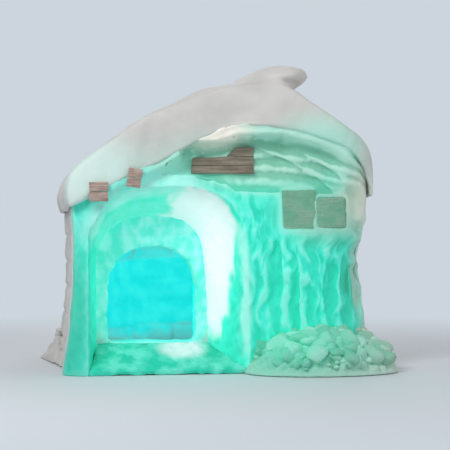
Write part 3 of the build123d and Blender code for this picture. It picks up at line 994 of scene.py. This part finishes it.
def heap_lumps(count, dice):
    """Places and sizes of the lumps on the heap, and of crumbs that have rolled to its rim."""
    low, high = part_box("bank_front_right")

    def on_heap(bearing, out, lift):
        return Vector((
            middle_of("bank_front_right", 0) + (high[0] - low[0]) / 2 * out * math.cos(bearing),
            high[1] + (high[1] - low[1]) * out * math.sin(bearing),
            high[2] * math.sqrt(1.0 - out * out) + lift))

    spots = []
    while len(spots) < count:
        size = 0.04 + 0.15 * dice.random() ** 2.0
        bearing = dice.uniform(-math.pi, 0.0)
        place = on_heap(bearing, 0.15 + 0.82 * dice.random() ** 0.7, size * 0.05)
        reach = 0.6 * size
        if place.y - reach > CAD_BOX[0][1] and abs(place.x) + reach < CAD_BOX[1][0]:
            spots.append((place, size))
    for _ in range(count // 2):
        size = 0.04 + 0.07 * dice.random() ** 2.0
        bearing = dice.uniform(-math.pi, 0.0)
        out = dice.uniform(0.86, 0.985) - 0.3 * size
        spots.append((on_heap(bearing, out, -0.02), size))
    return spots


def bank_crumbs(count, dice):
    """Places and sizes of crumbs on the bank round the back, down from the wall to the ground."""
    spots = []
    for _ in range(count):
        size = 0.03 + 0.07 * dice.random() ** 2.5
        bearing = dice.uniform(-0.1, math.pi + 0.1)
        share = dice.random()
        out = 2.03 + share * (0.27 - size)
        spots.append((Vector((ROOM_AXIS[0] + out * math.cos(bearing),
                              ROOM_AXIS[1] + out * math.sin(bearing),
                              0.40 * (1.0 - share) ** 1.8 + 0.2 * size)), size))
    return spots


def scatter_lumps(work, spots, dice):
    """Broken lumps of snow: each is cut by chance planes into a chunk with worn edges."""
    for place, size in spots:
        cuts = []
        while len(cuts) < CUTS_PER_LUMP:
            way = Vector((dice.gauss(0, 1), dice.gauss(0, 1), dice.gauss(0, 1)))
            if way.length > 0.1:
                cuts.append((way.normalized(), dice.uniform(0.62, 0.95)))
        made = bmesh.ops.create_icosphere(work, subdivisions=3 if size > 0.12 else 2, radius=1.0)
        squat = dice.uniform(0.6, 0.85)
        turn = Matrix.Rotation(dice.uniform(0.0, 6.3), 3, "Z")
        for vert in made["verts"]:
            way = vert.co.normalized()
            # a soft minimum over the cuts leaves the edges between the facets worn
            near = sum(max(way.dot(cut) / far_off, 0.05) ** 9 for cut, far_off in cuts) ** (1 / 9)
            reach = min(1.0 / near, 1.15) * (1.0 + 0.05 * noise.noise(way * 3.0 + place * 9.0))
            vert.co = place + turn @ Vector((way.x, way.y * 0.85, way.z * squat)) * (size * reach)


class IGLOO_OT_banks(Operator):
    """Sculpts the snow banked against the foot and scatters broken lumps on it."""

    bl_idname = "igloo.banks"
    bl_label = "Banks and lumps"

    def execute(self, context):
        snow = context.scene.igloo_snow
        nodes = ["bank_right", "bank_left", "bank_back_right", "bank_back_left",
                 "bank_front_right"]
        start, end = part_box("bank_left")[0][1], ROOM_AXIS[1] - 0.4

        def reach(points):
            x, y, z = points.T
            # the banks die away towards the front, but the heap doesn't
            heap = y < start - 0.02
            beside = np.abs(x) > 1.7
            fade = np.where(beside, smooth_step(start - 0.15, end, y), 1.0)
            fade = np.where(heap, 1.0, 0.12 + 0.88 * fade)
            out = np.maximum(np.abs(x) - 2.02, 0.0)
            # the side that lies against the walls goes on into them, so that no gap opens
            axis_x, axis_y = ROOM_AXIS
            back = np.maximum(y - axis_y, 0.0)
            inner = (np.hypot(x - axis_x, back) < 2.12 - 0.09 * z) & ~heap
            points[:, 0] -= np.where(heap, 0.0, np.sign(x) * out * (1.0 - fade))
            points[inner, :2] -= ROOM_AXIS
            points[inner, 0] *= 0.965
            points[inner, :2] += ROOM_AXIS
            points[inner & (back > 0), 1] -= 0.035 * back[inner & (back > 0)]
            points[heap & (y > FRONT_FACE - 0.03), 1] += 0.08
            points[:, 2] *= fade

        obj = snow_mass("foot_banks", nodes, BANK_GRAIN, reach)
        points = coordinates(obj.data)
        cells = points / 0.17
        crumbs = np.array([noise.noise(p, noise_basis="VORONOI_F2F1") for p in cells.tolist()])
        heap = smooth_step(start, start - 0.3, points[:, 1])
        amount = 0.050 * (rough(points, 0.40) - 0.1) + 0.012 * rough(points, 0.12, 2)
        amount += (0.016 + 0.045 * heap) * (np.clip(crumbs, -1.0, 1.0) - 0.2)
        amount *= smooth_step(0.0, 0.12, points[:, 2])
        move_along_normals(obj, amount)
        material = broken_snow(context.scene.igloo_colours)
        finish_piece(obj, material, "banked_snow", *nodes)
        dice = random.Random(snow.seed)
        spots = heap_lumps(snow.lump_count, dice) + bank_crumbs(snow.lump_count // 2, dice)
        work = bmesh.new()
        scatter_lumps(work, spots, dice)
        lumps = mesh_piece("snow_lumps", work)
        keep_in_box(lumps, coordinates(lumps.data))
        finish_piece(lumps, material, "banked_snow")
        return {"FINISHED"}


def seen_directly(tree):
    """1 for what the camera, a reflection or a view through glass sees, 0 for light."""
    path = add(tree, "LightPath").outputs
    seen = add(tree, "Math", GREATER, {}, {0: path["Is Camera Ray"], 1: path["Is Glossy Ray"]})
    return add(tree, "Math", GREATER, {},
               {0: seen.outputs[0], 1: path["Is Transmission Ray"]}).outputs[0]


def studio_floor(stage):
    """Plain pale floor that keeps the igloo's shadow and fades into the backdrop further off."""
    material, tree, shader = new_material("studio floor")
    shader.inputs["Base Color"].default_value = linear(stage.floor_colour)
    shader.inputs["Roughness"].default_value = 0.9
    plain = add(tree, "Emission", {}, {"Color": linear(stage.backdrop), "Strength": 1.0})
    near = spot(tree, (0.0, 0.0, 0.0), (11.0, 11.0, 11.0), 0.6)
    away = add(tree, "Math", {"operation": "SUBTRACT"}, {0: 1.0}, {1: near})
    fading = add(tree, "Math", PRODUCT, {}, {0: away.outputs[0], 1: seen_directly(tree)})
    mixed = add(tree, "MixShader", {}, {}, {
        0: fading.outputs[0], 1: shader.outputs["BSDF"], 2: plain.outputs[0]})
    output = next(node for node in tree.nodes if node.type == "OUTPUT_MATERIAL")
    tree.links.new(mixed.outputs[0], output.inputs["Surface"])
    return material


def aim(obj, place, target):
    """Puts the camera or a lamp at a place and turns it towards a target."""
    obj.location = place
    obj.rotation_euler = (target - place).to_track_quat("-Z", "Y").to_euler()


class IGLOO_OT_stage(Operator):
    """Floor, soft light and the camera at the photograph's viewing angle."""

    bl_idname = "igloo.stage"
    bl_label = "Stage"

    def execute(self, context):
        scene = context.scene
        stage = scene.igloo_stage
        scene.view_settings.view_transform = "Standard"
        data = bpy.data.cameras.new("camera")
        data.lens = stage.lens
        data.sensor_width = 36.0
        bearing = math.radians(stage.azimuth)
        target = Vector((0.0, FRONT_FACE, stage.eye_height))
        away = Vector((math.sin(bearing), -math.cos(bearing), 0.0))
        scene.camera = new_object("camera", data)
        aim(scene.camera, target + away * stage.distance, target)

        edge = 60
        ground = bpy.data.meshes.new("floor")
        ground.from_pydata([(-edge, -edge, 0), (edge, -edge, 0), (edge, edge, 0),
                            (-edge, edge, 0)], [], [(0, 1, 2, 3)])
        floor = new_object("floor", ground)
        ground.materials.append(studio_floor(stage))

        world = bpy.data.worlds.new("studio")
        world.use_nodes = True
        scene.world = world
        tree = world.node_tree
        tree.nodes.clear()
        sky = add(tree, "Background", {}, {"Color": linear("#F2F4F6"), "Strength": stage.sky})
        backdrop = add(tree, "Background", {},
                       {"Color": linear(stage.backdrop), "Strength": 1.0})
        both = add(tree, "MixShader", {}, {}, {
            0: seen_directly(tree), 1: sky.outputs[0], 2: backdrop.outputs[0]})
        add(tree, "OutputWorld", {}, {}, {"Surface": both.outputs[0]})

        for name, place, size, power in (("key", (-6.0, -9.5, 8.5), 4.0, 620.0),
                                         ("fill", (9.0, -7.0, 4.0), 6.0, 130.0),
                                         ("back", (2.0, 9.0, 8.0), 6.0, 300.0)):
            light = bpy.data.lights.new(name, "AREA")
            light.shape = "SQUARE"
            light.size = size
            light.energy = power
            aim(new_object(name, light), Vector(place), Vector((0, 0, 1.5)))
        return {"FINISHED"}


class IGLOO_PT_panel(Panel):
    """Lists the igloo's pieces and its stage."""

    bl_idname = "IGLOO_PT_panel"
    bl_label = "Snow Igloo"
    bl_space_type = "VIEW_3D"
    bl_region_type = "UI"
    bl_category = "Igloo"

    def draw(self, context):
        for operator in OPERATORS:
            self.layout.operator(operator.bl_idname)


GROUPS = (IglooColours, IglooSnow, IglooStage)
OPERATORS = (
    IGLOO_OT_walls, IGLOO_OT_dome, IGLOO_OT_front, IGLOO_OT_cap, IGLOO_OT_ramp,
    IGLOO_OT_blocks, IGLOO_OT_boards, IGLOO_OT_banks, IGLOO_OT_stage,
)


def register():
    for item in GROUPS + OPERATORS + (IGLOO_PT_panel,):
        bpy.utils.register_class(item)
    bpy.types.Scene.igloo_colours = PointerProperty(type=IglooColours)
    bpy.types.Scene.igloo_snow = PointerProperty(type=IglooSnow)
    bpy.types.Scene.igloo_stage = PointerProperty(type=IglooStage)


def unregister():
    del bpy.types.Scene.igloo_stage
    del bpy.types.Scene.igloo_snow
    del bpy.types.Scene.igloo_colours
    for item in reversed(GROUPS + OPERATORS + (IGLOO_PT_panel,)):
        bpy.utils.unregister_class(item)


def main():
    register()
    for operator in OPERATORS:
        group, name = operator.bl_idname.split(".")
        getattr(getattr(bpy.ops, group), name)()


if __name__ == "__main__":
    main()
